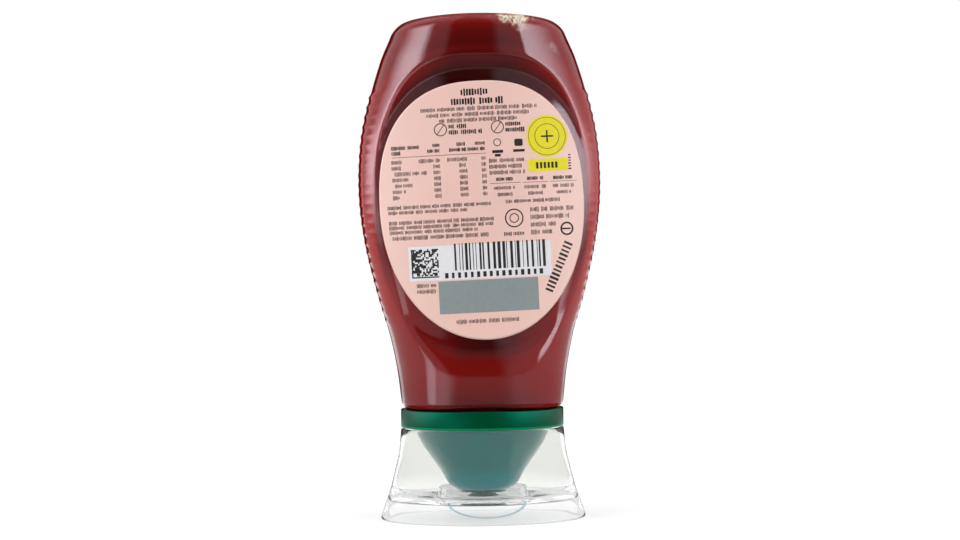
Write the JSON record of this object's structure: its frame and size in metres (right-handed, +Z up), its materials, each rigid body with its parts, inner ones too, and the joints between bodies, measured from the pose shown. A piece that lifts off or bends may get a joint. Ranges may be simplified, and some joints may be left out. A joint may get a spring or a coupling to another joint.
{
  "type": "ketchup squeeze bottle",
  "caption": "Upside-down clear squeeze bottle full of ketchup, with recessed oval labels, side ribs, a green cone closure and a clear flared overcap that it stands on.",
  "frame": {"origin": "centre of the overcap's foot, on the surface that the bottle stands on", "axes": "+Z up along the bottle, from the overcap to the bottle's own base; +X to the right across the width, seen from the back label; the back label faces -Y"},
  "size_m": [0.0764, 0.0512, 0.1574],
  "materials": {
    "clear_pet": "clear glossy blown PET",
    "ketchup": "smooth dark red sauce",
    "label_film": "smooth printed film with a soft sheen",
    "green_plastic": "moulded, satin gloss",
    "clear_plastic": "clear moulded, glossy"
  },
  "bodies": {
    "root": {"bottle": "clear_pet", "ketchup": "ketchup", "label_back": "label_film", "label_front": "label_film", "closure": "green_plastic", "overcap": "clear_plastic"}
  },
  "joints": []
}
